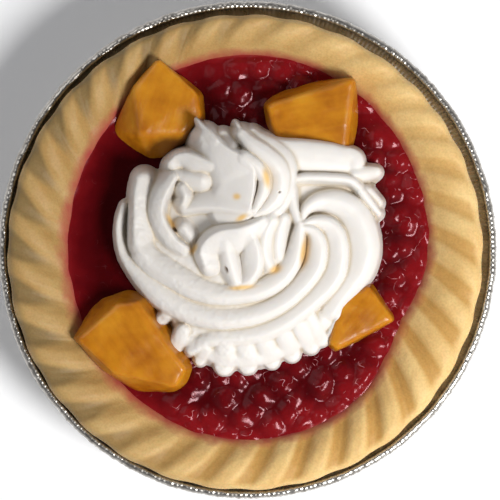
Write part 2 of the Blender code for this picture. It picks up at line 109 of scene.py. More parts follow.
RIM_OFFSET = 0.9  # the rim sits this far off the tin's centre
RIM_OFFSET_ANGLE = math.radians(225)
RIM_SCALLOP = 0.35
CRUST_FLOOR = 5.0
CRUST_FLOOR_RADIUS = 38.5
BROAD_RELIEF = 0.16
FINE_RELIEF = 0.05
CRUST_INSET = 0.12  # the rough surface is lowered by this

# The rim's section as rows: share of the way inward, height, share of the flutes' depth, scallop
RIM_ROWS = [
    (0.045, 25.4, 0.0, RIM_SCALLOP),
    (0.005, 27.2, 0.25, RIM_SCALLOP),
    (0.04, 29.3, 0.35, RIM_SCALLOP),
    (0.17, 31.0, 0.9, 0.0),
    (0.40, 31.0, 1.0, 0.0),
    (0.64, 29.7, 1.0, 0.0),
    (0.84, 27.6, 0.75, 0.0),
    (1.0, 25.3, 0.2, 0.0),
    (1.20, 21.5, 0.0, 0.0),
]
RIM_STEPS = 7  # fine rows for each row of the table

# Filling
FILLING_LEVEL = 23.6
FILLING_EDGE_RADIUS = 48.4
FILLING_INNER_RADIUS = 14.0  # inside it the cream hides the filling, which is one flat fan
FILLING_FOOT = 1.6  # how far the edge runs down between the crust and the filling
FILLING_STEP = 0.42
FILLING_ROUND_STEPS = 720
EDGE_WANDER = 0.6  # how far the edge strays, by noise of this size along a circle of this radius
EDGE_WANDER_SIZE = 7.0
EDGE_WANDER_RADIUS = 60.0
EDGE_RISE = 0.5  # the jam creeps up the crust by this much
EDGE_RISE_WIDTH = 2.2
LUMP_HEIGHT = 1.1
LUMP_SIZE = 5.5
PULP_HEIGHT = 0.40
PULP_SIZE = 2.4
WAVE_HEIGHT = 0.35
WAVE_SIZE = 6.0
SMOOTH_SIDE = -26.0  # the filling is smooth left of here and lumpy right of there
LUMPY_SIDE = -4.0
GLINT_STRAND_SPACING = 3.2
GLINT_STRAND_WIDTH = 0.012  # painted glint strands run where their noise lies this near to its middle

# Peach chunks
CHUNK_VOXEL = 0.36
CHUNK_DENTS = 0.12
CHUNK_INSET = 0.10  # the chunks' skin is drawn in by this
FIBRE_DEPTH = 0.03

# Cream
CREAM_FLOOR = 23.2
SWIRL_CENTRE = np.array((-1.9, 2.4))
CREAM_NEAREST = 20.0  # the cream's edge lies between these distances from the swirl's centre
CREAM_FURTHEST = 42.0
REACH_STEP = 0.25
REACH_EVENING = 400  # rounds of averaging that take the teeth out of the edge
RAGGED_SHARE = 0.72  # inside this share of the reach the rings run evenly, past the teeth
CREAM_ROUND_STEPS = 640
CREAM_EDGE_RINGS = 14
CREAM_RINGS = 136
CREAM_FOOT = 0.5
CREAM_UNEVENNESS = 0.06
CREAM_FROTH = 0.05
FINE_FROTH = 0.08
PIT_DEPTH = 0.7
HOLLOW_ROUNDS = 14  # rounds of averaging that tell a hollow from what is round it
HOLLOW_SHARE = 0.7
HOLLOW_DEPTH = 0.35  # a hollow this deep has the full painted shade of one

# Colours
FOIL_DARK = (0.44, 0.41, 0.365)
FOIL_BRIGHT = (0.62, 0.59, 0.545)
CRUMB_PALE = (0.79, 0.545, 0.22)
CRUMB_GOLDEN = (0.72, 0.465, 0.17)
# Painted shade: the crust's pale colour is multiplied by this on the side away from the key light
CRUMB_SHADE_TINT = (0.61, 0.56, 0.475)
# Groove colours: baked brown with painted shade in the grooves, and painted shade of the groove flanks on
# the side away from the key light
GROOVE_BROWN_AND_SHADE = (0.55, 0.30, 0.072)
GROOVE_FLANK_SHADE = (0.245, 0.155, 0.050)
JAM_STAIN = (0.40, 0.060, 0.048)
JAM_DEEP = (0.050, 0.0012, 0.0020)
JAM_BODY = (0.085, 0.0020, 0.0035)
JAM_THIN = (0.20, 0.0065, 0.0090)
# Painted glints: thin pink strands that stand for the light's reflection on the jam
JAM_GLINT = (0.90, 0.40, 0.43)
PEACH_DARK = (0.34, 0.100, 0.003)
PEACH_BODY = (0.50, 0.185, 0.006)
PEACH_PALE = (0.61, 0.265, 0.013)
CREAM_WHITE = (0.775, 0.74, 0.695)
# Painted shade: the cream's colour on the side away from the key light
CREAM_SHADED = (0.655, 0.622, 0.58)
# Painted shade, warm-tinted, in the cream's hollows and creases
CREAM_HOLLOW_SHADE = (0.56, 0.47, 0.34)
SYRUP = (0.75, 0.50, 0.20)
# Dark brown painted shade inside the small pits in the cream
PIT_SHADE = (0.16, 0.10, 0.05)


# Noise

# Large odd factors that scatter the bits of a lattice point, and masks of 32 and 16 bits
FACTOR_X = 374761393
FACTOR_Y = 668265263
FACTOR_Z = 1440662683
FACTOR_SEED = 1274126177
LONG_MASK = 0xFFFFFFFF
SHORT_MASK = 0xFFFF


def lattice(ix, iy, iz, seed):
    """A number from 0 to 1 for each point of a whole-number lattice."""
    n = (ix * FACTOR_X + iy * FACTOR_Y + iz * FACTOR_Z + seed * FACTOR_SEED) & LONG_MASK
    n = ((n ^ (n >> 13)) * FACTOR_SEED) & LONG_MASK
    return ((n ^ (n >> 16)) & SHORT_MASK) / SHORT_MASK


def soft_noise(points, size, seed):
    """Smooth noise from -1 to 1 with features of this size, or sizes along X, Y and Z."""
    place = np.asarray(points) / np.asarray(size) + 1000.0
    base = np.floor(place).astype(np.int64)
    t = place - base
    t = t * t * (3 - 2 * t)
    total = 0.0
    for corner in np.ndindex(2, 2, 2):
        share = np.prod(np.where(np.array(corner) == 1, t, 1 - t), axis=-1)
        cell = base + np.array(corner)
        total = total + share * lattice(cell[..., 0], cell[..., 1], cell[..., 2], seed)
    return total * 2 - 1


def rough_noise(points, size, seed, layers):
    """Soft noise with finer and weaker layers on it."""
    total = 0.0
    for i in range(layers):
        total = total + soft_noise(points, np.asarray(size) / 2.0 ** i, seed + i) * 0.5 ** i
    return total


def cell_distances(points, size, seed):
    """Distances to the nearest of points strewn one to a cell, in cells."""
    place = np.asarray(points) / size + 1000.0
    base = np.floor(place).astype(np.int64)
    nearest = np.full(place.shape[:-1], 9.0)
    for shift in np.ndindex(3, 3):
        cell = base.copy()
        cell[..., 0] += shift[0] - 1
        cell[..., 1] += shift[1] - 1
        ix, iy = cell[..., 0], cell[..., 1]
        seat_x = ix + lattice(ix, iy, 0, seed)
        seat_y = iy + lattice(ix, iy, 1, seed)
        away = np.hypot(place[..., 0] - seat_x, place[..., 1] - seat_y)
        nearest = np.minimum(nearest, away)
    return nearest


def smoothstep(low, high, value):
    """Runs smoothly from 0 at low to 1 at high. Low may be the greater of the two."""
    t = np.clip((value - low) / (high - low), 0.0, 1.0)
    return t * t * (3 - 2 * t)


def turn_between(angle, middle):
    """The signed turn from a middle direction, in radians from -pi to pi."""
    return (angle - middle + math.pi) % TAU - math.pi


# Meshes

def mesh_object(name, points, faces):
    """A smooth-shaded object from points in millimetres."""
    mesh = bpy.data.meshes.new(name)
    mesh.from_pydata((np.asarray(points) * MM).tolist(), [], faces)
    mesh.shade_smooth()
    obj = bpy.data.objects.new(name, mesh)
    bpy.context.scene.collection.objects.link(obj)
    return obj


def ring(radius, angle, height):
    """Points round the upright axis. Each value is one number, or one for each point."""
    return np.stack(np.broadcast_arrays(radius * np.cos(angle), radius * np.sin(angle), height), -1)


def ring_faces(rows, count):
    """Quads between rings of points, each ring closed, in the order of the rings."""
    here = np.arange(rows - 1)[:, None] * count + np.arange(count)[None, :]
    after = np.arange(rows - 1)[:, None] * count + (np.arange(count)[None, :] + 1) % count
    return np.stack([here, after, after + count, here + count], axis=-1).reshape(-1, 4).tolist()


def cap_faces(start, count, hub, inward):
    """A fan of triangles from a ring to its hub."""
    faces = []
    for i in range(count):
        a, b = start + i, start + (i + 1) % count
        faces.append((b, a, hub) if inward else (a, b, hub))
    return faces


def ringed_object(name, rings):
    """A closed body through an array of rings, running up outside and in across the top."""
    rows, count = rings.shape[:2]
    points = rings.reshape(-1, 3)
    hubs = np.array([rings[0].mean(axis=0), rings[-1].mean(axis=0)])
    faces = ring_faces(rows, count)
    faces += cap_faces(0, count, rows * count, True)
    faces += cap_faces((rows - 1) * count, count, rows * count + 1, False)
    return mesh_object(name, np.vstack([points, hubs]), faces)


def set_value(obj, name, values):
    """Stores one number a vertex, for the piece's material."""
    attribute = obj.data.attributes.new(name, "FLOAT", "POINT")
    padded = np.zeros(len(obj.data.vertices), np.float32)
    flat = np.asarray(values, np.float32).ravel()
    padded[:len(flat)] = flat
    attribute.data.foreach_set("value", padded)


def vertex_places(obj):
    """The vertices' places in millimetres."""
    places = np.zeros(len(obj.data.vertices) * 3, np.float32)
    obj.data.vertices.foreach_get("co", places)
    return places.reshape(-1, 3).astype(float) / MM


def vertex_normals(obj):
    normals = np.zeros(len(obj.data.vertices) * 3, np.float32)
    obj.data.vertices.foreach_get("normal", normals)
    return normals.reshape(-1, 3).astype(float)


def put_vertices(obj, places):
    """Moves the vertices to these places in millimetres."""
    obj.data.vertices.foreach_set("co", (places * MM).astype(np.float32).ravel())
    obj.data.update()


def neighbour_mean(obj, values):
    """The mean of each vertex's neighbours along the edges."""
    edges = np.zeros(len(obj.data.edges) * 2, np.int32)
    obj.data.edges.foreach_get("vertices", edges)
    a, b = edges.reshape(-1, 2).T
    total = np.zeros_like(values)
    np.add.at(total, a, values[b])
    np.add.at(total, b, values[a])
    degree = np.bincount(edges, minlength=len(values)).astype(float)
    degree = degree.reshape((-1,) + (1,) * (values.ndim - 1))
    return total / np.maximum(degree, 1)


def soften(obj, rounds):
    """Moves every vertex half the way to its neighbours' mean in each round."""
    places = vertex_places(obj)
    for _ in range(rounds):
        places += (neighbour_mean(obj, places) - places) / 2
    put_vertices(obj, places)


def remesh(obj, voxel):
    """Gives the object the even mesh of its outside."""
    modifier = obj.modifiers.new("even mesh", "REMESH")
    modifier.mode = "VOXEL"
    modifier.voxel_size = voxel * MM
    modifier.use_smooth_shade = True
    graph = bpy.context.evaluated_depsgraph_get()
    graph.update()
    mesh = bpy.data.meshes.new_from_object(obj.evaluated_get(graph))
    obj.modifiers.clear()
    obj.data = mesh


def spline(points, steps):
    """A smooth run through control points of any length, with steps pieces between each two."""
    points = np.asarray(points, float)
    padded = np.vstack([points[:1], points, points[-1:]])
    found = []
    for i in range(len(points) - 1):
        b, c, d, e = padded[i:i + 4]
        for t in np.arange(steps) / steps:
            found.append(0.5 * (2 * c + (d - b) * t + (2 * b - 5 * c + 4 * d - e) * t * t
                                + (3 * c - b - 3 * d + e) * t ** 3))
    found.append(points[-1])
    return np.array(found)


# Materials

class Surface:
    """A material of nodes round one Principled BSDF."""

    def __init__(self, name, roughness, **inputs):
        self.material = bpy.data.materials.new(name)
        self.material.use_nodes = True
        self.tree = self.material.node_tree
        self.shader = self.tree.nodes["Principled BSDF"]
        self.shader.inputs["Roughness"].default_value = roughness
        for key, value in inputs.items():
            label = key.replace("_", " ").title().replace("Ior", "IOR")
            self.shader.inputs[label].default_value = value

    def node(self, kind, inputs=None, **settings):
        """A new node with these settings. An input is linked to a socket or set to a value."""
        made = self.tree.nodes.new(kind)
        for key, value in settings.items():
            setattr(made, key, value)
        for key, value in (inputs or {}).items():
            if isinstance(value, bpy.types.NodeSocket):
                self.tree.links.new(value, made.inputs[key])
            else:
                made.inputs[key].default_value = value
        return made

    def value(self, name):
        """One of the numbers stored for each vertex."""
        return self.node("ShaderNodeAttribute", attribute_name=name).outputs["Fac"]

    def noise(self, size, detail):
        """Noise with features of this size in millimetres."""
        place = self.node("ShaderNodeTexCoord").outputs["Object"]
        inputs = {"Vector": place, "Scale": 1 / (size * MM), "Detail": detail}
        return self.node("ShaderNodeTexNoise", inputs).outputs["Fac"]

    def maths(self, operation, a, b):
        return self.node("ShaderNodeMath", {0: a, 1: b}, operation=operation).outputs[0]

    def spread(self, value, low, high, to_low=0.0, to_high=1.0):
        """Maps a value from one range to another, held at both ends."""
        ranges = {"From Min": low, "From Max": high, "To Min": to_low, "To Max": to_high}
        return self.node("ShaderNodeMapRange", {"Value": value, **ranges}).outputs[0]

    def ramp(self, factor, stops):
        """A colour from a run of colours, each at its place from 0 to 1."""
        made = self.node("ShaderNodeValToRGB", {"Fac": factor})
        elements = made.color_ramp.elements
        while len(elements) < len(stops):
            elements.new(0.5)
        for element, (position, colour) in zip(elements, stops):
            element.position = position
            element.color = (*colour, 1.0)
        return made.outputs["Color"]

    def mix(self, factor, a, b, blend="MIX"):
        """Mixes two colours by a factor."""
        made = self.node("ShaderNodeMix", data_type="RGBA", blend_type=blend)
        for socket, value in ((0, factor), (6, a), (7, b)):
            if isinstance(value, bpy.types.NodeSocket):
                self.tree.links.new(value, made.inputs[socket])
            elif isinstance(value, tuple):
                made.inputs[socket].default_value = (*value, 1.0)
            else:
                made.inputs[socket].default_value = value
        return made.outputs[2]

    def colour(self, socket):
        self.tree.links.new(socket, self.shader.inputs["Base Color"])

    def roughness(self, socket):
        self.tree.links.new(socket, self.shader.inputs["Roughness"])

    def bump(self, height, distance, strength):
        """Relief of the surface, with its depth in millimetres."""
        inputs = {"Height": height, "Distance": distance * MM, "Strength": strength}
        made = self.node("ShaderNodeBump", inputs)
        self.tree.links.new(made.outputs["Normal"], self.shader.inputs["Normal"])


def dress(obj, surface, slot, *nodes):
    """Gives a finished piece its material and its place in the frame."""
    obj.data.materials.clear()
    obj.data.materials.append(surface.material)
    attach(obj, "root")
    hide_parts(*nodes)


# The tin

def tin_rows():
    """Radius, height and share of the pleats along the foil's section, outside then inside."""
    flange = TIN_OUTER_RADIUS - 2 * TIN_BEAD
    flange_start = TIN_MOUTH_RADIUS + TIN_FLANGE_START
    base = [
        (TIN_BASE_RADIUS - BASE_RING, 0.0, 0.0),
        (TIN_BASE_RADIUS - TIN_CORNER, 0.0, 0.0),
        (TIN_BASE_RADIUS - 0.2, 0.5, 0.3),
        (TIN_BASE_RADIUS + TIN_WALL, TIN_CORNER, 0.8),
    ]
    foot = np.array(base[-1])
    top = np.array((TIN_MOUTH_RADIUS + TIN_WALL, TIN_DEPTH - TIN_WALL, 1.0))
    wall = [foot * (1 - t) + top * t for t in np.arange(1, WALL_ROWS + 1) / WALL_ROWS]
    under_flange = [(flange_start, TIN_DEPTH - TIN_WALL, 1.0), (flange, TIN_DEPTH - 0.45, 1.0)]
    bead = []
    for degrees in range(-130, 176, BEAD_STEP):
        a = math.radians(degrees)
        out = TIN_OUTER_RADIUS - TIN_BEAD + TIN_BEAD * math.cos(a)
        bead.append((out, TIN_DEPTH + TIN_BEAD * math.sin(a), 0.35))
    inside = [
        (flange, TIN_DEPTH + 0.02, 1.0),
        (flange_start, TIN_DEPTH, 1.0),
        (TIN_MOUTH_RADIUS, TIN_DEPTH - 0.1, 1.0),
        (TIN_BASE_RADIUS, TIN_WALL + TIN_CORNER, 0.6),
        (TIN_BASE_RADIUS - TIN_CORNER, TIN_WALL, 0.0),
    ]
    return np.array([*base, *wall, *under_flange, *bead, *inside])


def make_tin():
    count = CRIMPS * STEPS_PER_CRIMP
    angle = np.arange(count) / count * TAU
    rings = []
    for radius, height, pleated in tin_rows():
        around = ring(radius, angle, height)
        uneven = 0.65 + 0.35 * soft_noise(around, (3.0, 3.0, 8.0), seed=5)
        shift = 0.8 * soft_noise(around, 9.0, seed=6)
        pleats = PLEAT_DEPTH * uneven * np.cos(angle * PLEATS + shift)
        crimps = CRIMP_DEPTH * uneven * np.cos(angle * CRIMPS + shift)
        dents = (BROAD_DENTS * soft_noise(around, (3.0, 3.0, 5.0), seed=7)
                 + FINE_DENTS * soft_noise(around, (0.7, 0.7, 1.4), seed=8))
        on_flange = smoothstep(TIN_MOUTH_RADIUS - 0.5, TIN_MOUTH_RADIUS + 1.0, radius)
        on_bead = smoothstep(TIN_OUTER_RADIUS - 2.4, TIN_OUTER_RADIUS - 1.8, radius)
        push = pleats * pleated * (1 - on_flange) + dents * on_bead - FOIL_INSET
        new_radius = radius - BEAD_INSET * on_bead + push * (pleated > 0)
        lift = crimps * on_flange * (1 - 0.75 * on_bead) + dents * on_bead - BEAD_DROP * on_bead
        rings.append(ring(new_radius, angle, np.maximum(height + lift, 0.0)))
    return ringed_object("foil", np.array(rings))


def foil_surface():
    surface = Surface("foil", 0.36, metallic=1.0)
    surface.colour(surface.ramp(surface.noise(2.6, 3.0), [(0.3, FOIL_DARK), (0.7, FOIL_BRIGHT)]))
    surface.roughness(surface.spread(surface.noise(1.2, 2.0), 0.0, 1.0, 0.20, 0.42))
    surface.bump(surface.noise(0.5, 3.0), 0.05, 0.35)
    return surface


# The crust

def flute_start(turn):
    """Where a flute that is this share of the way round starts: they are unevenly spaced."""
    crowded = turn_between(turn, CROWDED_ANGLE) / CROWDED_SPREAD
    drift = FLUTE_DRIFT * np.cos(turn + FLUTE_DRIFT_ANGLE)
    return turn + drift - CROWDING * np.exp(-crowded * crowded)


def flute_strength(angle):
    """The flutes are pressed less deeply on one side."""
    away = turn_between(angle, SHALLOW_ANGLE) / SHALLOW_SPREAD
    return 1.0 - SHALLOWNESS * np.exp(-away * away)


def opening(angle):
    """How much wider the opening round the filling is in a direction than on average."""
    away = turn_between(angle, OVERHANG_ANGLE) / OVERHANG_SPREAD
    oval = OPENING_SHIFT * np.sin(angle) - OPENING_STRETCH * np.cos(2 * angle)
    return oval - OVERHANG * np.exp(-away * away)


def side_shade_amount(angle):
    """How much the crust is painted darker on one side, as shade on the side away from the key light."""
    return 0.5 + 0.5 * np.cos(turn_between(angle, SHADED_SIDE_ANGLE))


def groove_brown_and_shade(angle, groove, inward):
    """How brown the crust is, in baked brown and painted shade: in even stripes along the grooves on one
    side, in wedges of painted shade on the groove flanks that end short of the filling on the other, and
    hardly at all where the flutes are shallow."""
    stripes = smoothstep(0.20, 0.85, groove) * smoothstep(0.06, 0.22, inward)
    wedge_start = 0.04 + 0.75 * smoothstep(0.05, 0.75, inward)
    wedges = smoothstep(wedge_start - 0.15, wedge_start + 0.5, groove) * smoothstep(0.95, 0.55, inward)
    brown_and_shade = stripes + (wedges - stripes) * smoothstep(0.35, 0.75, side_shade_amount(angle))
    return brown_and_shade * smoothstep(0.0, 0.03, inward) * (flute_strength(angle) ** 2)


def make_crust():
    count = FLUTES * STEPS_PER_FLUTE
    turn = np.arange(count) / count * TAU
    share = np.arange(count) / STEPS_PER_FLUTE
    flute = np.round(share).astype(np.int64) % FLUTES
    depth = FLUTE_DEPTH * (EVEN_FLUTES + (1 - EVEN_FLUTES) * (2 * lattice(flute, 3, 1, seed=11) - 1))
    phase = TAU * share + FLUTE_LEAN * np.sin(TAU * share)
    groove = (0.5 - 0.5 * np.cos(phase)) ** GROOVE_NARROWNESS
    rings = []
    brown_and_shade = []
    inwards = []
    side_shade = []
    for inward, height, fluting, scallop in spline(RIM_ROWS, RIM_STEPS):
        angle = flute_start(turn) + FLUTE_SLANT * min(1.0, inward)
        edge = RIM_EDGE_RADIUS + RIM_OFFSET * np.cos(angle - RIM_OFFSET_ANGLE)
        radius = edge + (RIM_INNER_RADIUS + opening(angle) - edge) * inward - scallop * groove
        drop = depth * fluting * flute_strength(angle) * groove
        rings.append(ring(radius, angle, height - drop))
        # The grooves are painted partly baked brown and partly shade
        brown_and_shade.append(groove_brown_and_shade(angle, groove, inward))
        inwards.append(np.full(count, inward))
        # Painted shade on the side of the crust away from the key light
        side_shade.append(smoothstep(0.25, 0.85, side_shade_amount(angle)))
    rings = np.array(rings)
    relief = (BROAD_RELIEF * rough_noise(rings, 4.5, seed=21, layers=3)
              + FINE_RELIEF * soft_noise(rings, 0.7, seed=25))
    rings[..., 2] += relief * smoothstep(0.0, 0.02, np.array(inwards)) - CRUST_INSET
    # The shell's outside against the tin: radius, height
    outside = [(TIN_BASE_RADIUS - 2.0, 0.8), (TIN_BASE_RADIUS - 0.6, 2.4), (TIN_MOUTH_RADIUS - 0.6, 25.2)]
    lower = [ring(radius, flute_start(turn), height) for radius, height in outside]
    floor = ring(CRUST_FLOOR_RADIUS, flute_start(turn) + FLUTE_SLANT, CRUST_FLOOR)
    crust = ringed_object("crust", np.concatenate([np.array(lower), rings, floor[None]]))
    blank = np.zeros((len(outside), count))
    for name, values in (("brown_and_shade", brown_and_shade), ("inward", inwards), ("side_shade", side_shade)):
        set_value(crust, name, np.concatenate([blank, np.array(values)]))
    return crust


def crust_surface():
    surface = Surface("pastry", 0.62, subsurface_weight=0.12, subsurface_scale=0.001)
    # The stored side mask paints the crust darker, as shade, on the side away from the key light
    side_shade = surface.value("side_shade")
    pale = surface.ramp(surface.noise(9.0, 3.0), [(0.35, CRUMB_PALE), (0.65, CRUMB_GOLDEN)])
    pale = surface.mix(side_shade, pale, CRUMB_SHADE_TINT, "MULTIPLY")
    # The grooves take baked brown with painted shade, and painted shade alone on the side away from the
    # key light
    crumb = surface.mix(surface.value("brown_and_shade"), pale, surface.mix(side_shade, GROOVE_BROWN_AND_SHADE, GROOVE_FLANK_SHADE))
    grain = surface.ramp(surface.noise(0.55, 3.0), [(0.30, (0.88, 0.86, 0.82)), (0.60, (1.0, 1.0, 1.0))])
    crumb = surface.mix(1.0, crumb, grain, "MULTIPLY")
    ragged = surface.maths("MULTIPLY", surface.maths("SUBTRACT", surface.noise(3.2, 3.0), 0.5), 0.22)
    stained = surface.spread(surface.maths("ADD", surface.value("inward"), ragged), 0.86, 1.08)
    surface.colour(surface.mix(stained, crumb, JAM_STAIN))
    surface.bump(surface.noise(0.6, 4.0), 0.14, 0.6)
    return surface


# The filling

def make_filling():
    count = FILLING_ROUND_STEPS
    angle = np.arange(count) / count * TAU
    radii = np.arange(FILLING_EDGE_RADIUS, FILLING_INNER_RADIUS, -FILLING_STEP)
    wander = EDGE_WANDER * soft_noise(ring(EDGE_WANDER_RADIUS, angle, 0.0), EDGE_WANDER_SIZE, seed=31)
    rings = []
    for radius in radii:
        widened = opening(angle) * smoothstep(FILLING_INNER_RADIUS, 40.0, radius)
        rings.append(ring(radius + widened + wander * smoothstep(38.0, 47.0, radius), angle, 0.0))
    rings = np.array(rings)
    lively = 0.05 + 0.95 * smoothstep(SMOOTH_SIDE, LUMPY_SIDE, rings[..., 0] - 0.15 * rings[..., 1])
    from_edge = FILLING_EDGE_RADIUS - radii[:, None]
    lumps = smoothstep(0.75, 0.15, cell_distances(rings, LUMP_SIZE, seed=41)) * lively
    pulp = (0.5 + 0.5 * rough_noise(rings, PULP_SIZE, seed=42, layers=2)) * lively
    waves = rough_noise(rings, WAVE_SIZE, seed=43, layers=2) * (0.15 + 0.85 * lively)
    relief = LUMP_HEIGHT * lumps + PULP_HEIGHT * pulp + WAVE_HEIGHT * waves
    rise = EDGE_RISE * smoothstep(EDGE_RISE_WIDTH, 0.0, from_edge)
    rings[..., 2] = FILLING_LEVEL + relief * smoothstep(0.0, 2.5, from_edge) + rise
    foot = rings[:1].copy()
    foot[..., 2] = FILLING_LEVEL - FILLING_FOOT
    filling = ringed_object("cherry_jam", np.concatenate([foot, rings]))
    blank = np.zeros((1, count))
    edge = np.repeat(from_edge, count, axis=1)
    for name, values in (("edge", edge), ("lump", lumps), ("lively", lively)):
        set_value(filling, name, np.concatenate([blank, values]))
    return filling


def jam_surface():
    surface = Surface("cherry_jam", 0.18, specular_ior_level=0.20, specular_tint=(1.0, 0.62, 0.66, 1.0),
                      subsurface_weight=0.25, subsurface_scale=0.002)
    lively = surface.value("lively")
    edge = surface.value("edge")
    depth = surface.spread(edge, 1.0, 9.0, 0.60, 0.0)
    depth = surface.maths("ADD", depth, surface.maths("MULTIPLY", surface.value("lump"), 0.30))
    depth = surface.maths("ADD", depth, surface.maths("MULTIPLY", lively, 0.14))
    depth = surface.maths("ADD", depth, surface.maths("MULTIPLY", surface.noise(5.0, 4.0), 0.40))
    body = surface.ramp(depth, [(0.20, JAM_DEEP), (0.50, JAM_BODY), (0.95, JAM_THIN)])
    # Thin strands are painted pink as glints, and also raise a little bump
    off_middle = surface.maths("SUBTRACT", surface.noise(GLINT_STRAND_SPACING, 1.0), 0.5)
    line = surface.spread(surface.maths("ABSOLUTE", off_middle, 0.0), 0.002, GLINT_STRAND_WIDTH, 1.0, 0.0)
    tufts = surface.spread(surface.noise(2.6, 2.0), 0.55, 0.66)
    glint_strand = surface.maths("MULTIPLY", line, surface.maths("MULTIPLY", tufts, lively))
    body = surface.mix(surface.maths("MULTIPLY", glint_strand, 0.6), body, JAM_GLINT)
    film = surface.spread(edge, 0.0, 1.1, 0.75, 0.0)
    surface.colour(surface.mix(film, body, JAM_STAIN))
    relief = surface.maths("ADD", surface.maths("MULTIPLY", surface.noise(0.9, 2.0), 0.5), glint_strand)
    surface.bump(surface.maths("MULTIPLY", relief, lively), 0.20, 0.35)
    return surface


# The peach chunks

# The direction of each chunk's fibres in radians, and its seed
CHUNKS = {
    "peach_chunk_upper_left": (1.2, 71),
    "peach_chunk_upper_right": (0.2, 76),
    "peach_chunk_lower_left": (2.2, 81),
    "peach_chunk_lower_right": (0.9, 86),
}


def make_chunk(node, grain_angle, seed):
    """The solid's form with softened edges, fibres along one direction and small dents."""
    chunk = bpy.data.objects.new(node.replace("peach_", ""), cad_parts[node].data.copy())
    bpy.context.scene.collection.objects.link(chunk)
    remesh(chunk, CHUNK_VOXEL)
    soften(chunk, 3)
    places = vertex_places(chunk)
    normals = vertex_normals(chunk)
    along = np.array((math.cos(grain_angle), math.sin(grain_angle)))
    turned = np.stack([
        places[:, 0] * along[0] + places[:, 1] * along[1],
        places[:, 1] * along[0] - places[:, 0] * along[1],
        places[:, 2],
    ], -1)
    fibre = soft_noise(turned, (9.0, 0.9, 1.6), seed)
    fibre += 0.5 * soft_noise(turned, (5.0, 0.45, 0.8), seed + 1)
    dents = rough_noise(places, 4.0, seed + 2, layers=2)
    push = FIBRE_DEPTH * fibre + CHUNK_DENTS * dents - CHUNK_INSET
    put_vertices(chunk, places + normals * push[:, None])
    set_value(chunk, "fibre", fibre * 0.33 + 0.5)
    return chunk


def peach_surface():
    surface = Surface("peach", 0.3, subsurface_weight=0.35, subsurface_scale=0.003,
                      specular_ior_level=0.35)
    surface.shader.inputs["Subsurface Radius"].default_value = (1.0, 0.45, 0.08)
    tone = surface.maths("ADD", surface.maths("MULTIPLY", surface.value("fibre"), 0.16),
                         surface.maths("MULTIPLY", surface.noise(7.0, 3.0), 0.9))
    surface.colour(surface.ramp(tone, [(0.30, PEACH_DARK), (0.55, PEACH_BODY), (0.80, PEACH_PALE)]))
    surface.bump(surface.noise(0.6, 3.0), 0.08, 0.4)
    return surface


# The cream

# Reach of the cream's foot from the swirl's centre, every 15 degrees from +X
FOOT_REACH = [36.2, 36.2, 37.2, 33.8, 29.6, 27.4, 28.0, 27.0, 25.4, 25.2, 31.0, 31.6,
              30.8, 30.2, 28.0, 27.6, 31.2, 32.0, 32.2, 32.4, 32.4, 31.8, 30.8, 33.8]

# The plain heap under the ridges: share of the foot's reach, height
HEAP = [
    (0.0, 35.0), (0.30, 34.6), (0.60, 33.0), (0.74, 31.8), (0.84, 30.4), (0.92, 28.6),
    (0.955, 25.0), (0.97, 22.5),
]

# Sections of ridges: how the height falls from the crest to an edge, as a power of the way there;
# how far it falls, as a share of the ridge's width; how steep the bank below the edge starts, which
# is steeper on a ridge's narrow side; and the fillet that joins it to what lies under and beside it
SECTIONS = {
    "ring": (2.0, 0.31, 5.0, 0.6),
    "band": (3.0, 0.15, 7.0, 0.6),
    "broad": (2.0, 0.27, 5.0, 0.8),
    "fin": (1.3, 0.60, 14.0, 0.5),
    "slope": (1.25, 0.40, 2.6, 1.4),
    "ribbon": (1.6, 0.36, 3.0, 0.9),
    "skirt": (2.0, 0.20, 2.5, 1.0),
    "soft": (2.0, 0.33, 1.8, 1.4),
    "tooth": (2.5, 0.18, 7.0, 0.6),
}
BANK_STEEPENING = 0.5
BANK_REACH = 5.5  # no bank is looked for further from its ridge than this
PIECE_BLEND = 0.08  # how widely neighbouring pieces of a ridge share the places between them
RIDGE_STEPS = 8

